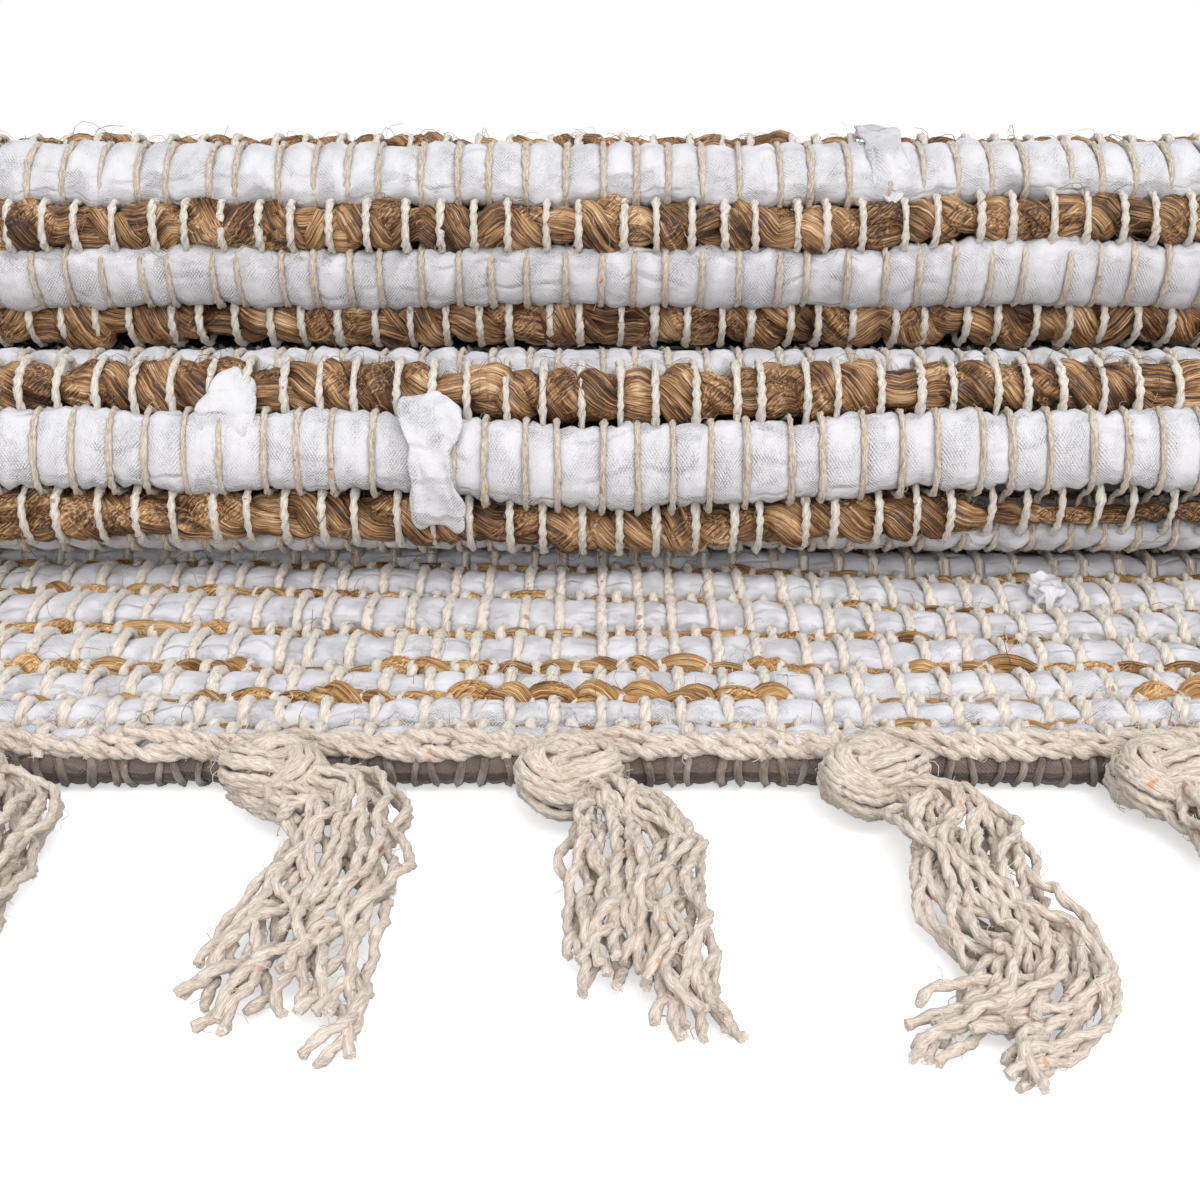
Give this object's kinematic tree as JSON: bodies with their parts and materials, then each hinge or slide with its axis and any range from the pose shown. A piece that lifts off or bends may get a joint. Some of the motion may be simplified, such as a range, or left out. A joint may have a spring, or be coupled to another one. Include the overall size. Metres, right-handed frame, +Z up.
{
  "type": "runner rug",
  "caption": "Long hand-woven floor runner of cotton rag and jute, folded to and fro into a low pile, with knotted tassels along both ends.",
  "frame": {"origin": "centre of the folded rug's outline, on the floor under it", "axes": "+X along the folds, across the rug's width; -Y towards the fringe that lies on the floor; +Z up"},
  "size_m": [0.7688, 0.5022, 0.0825],
  "materials": {
    "warp_cotton": "matt two-ply cotton yarn, natural",
    "rag_cotton": "matt bleached cotton jersey, cut into strips",
    "jute": "hairy jute roving, undyed, slightly glossy fibres"
  },
  "bodies": {
    "root": {"cotton_rag_weft_layer_1": "rag_cotton", "jute_weft_layer_1": "jute", "cotton_rag_weft_layer_2": "rag_cotton", "jute_weft_layer_2": "jute", "cotton_rag_weft_layer_3": "rag_cotton", "jute_weft_layer_3": "jute", "cotton_rag_weft_layer_4": "rag_cotton", "jute_weft_layer_4": "jute", "cotton_rag_weft_layer_5": "rag_cotton", "jute_weft_layer_5": "jute", "warp_group_1": "warp_cotton", "warp_group_2": "warp_cotton", "warp_group_3": "warp_cotton", "front_twined_edge": "warp_cotton", "back_twined_edge": "warp_cotton", "front_tassel_01": "warp_cotton", "front_tassel_02": "warp_cotton", "front_tassel_03": "warp_cotton", "front_tassel_04": "warp_cotton", "front_tassel_05": "warp_cotton", "front_tassel_06": "warp_cotton", "front_tassel_07": "warp_cotton", "front_tassel_08": "warp_cotton", "front_tassel_09": "warp_cotton", "front_tassel_10": "warp_cotton", "front_tassel_11": "warp_cotton", "front_tassel_12": "warp_cotton", "front_tassel_13": "warp_cotton", "front_tassel_14": "warp_cotton", "front_tassel_15": "warp_cotton", "front_tassel_16": "warp_cotton", "front_tassel_17": "warp_cotton", "front_tassel_18": "warp_cotton", "back_tassel_01": "warp_cotton", "back_tassel_02": "warp_cotton", "back_tassel_03": "warp_cotton", "back_tassel_04": "warp_cotton", "back_tassel_05": "warp_cotton", "back_tassel_06": "warp_cotton", "back_tassel_07": "warp_cotton", "back_tassel_08": "warp_cotton", "back_tassel_09": "warp_cotton", "back_tassel_10": "warp_cotton", "back_tassel_11": "warp_cotton", "back_tassel_12": "warp_cotton", "back_tassel_13": "warp_cotton", "back_tassel_14": "warp_cotton", "back_tassel_15": "warp_cotton", "back_tassel_16": "warp_cotton", "back_tassel_17": "warp_cotton", "back_tassel_18": "warp_cotton"}
  },
  "joints": []
}
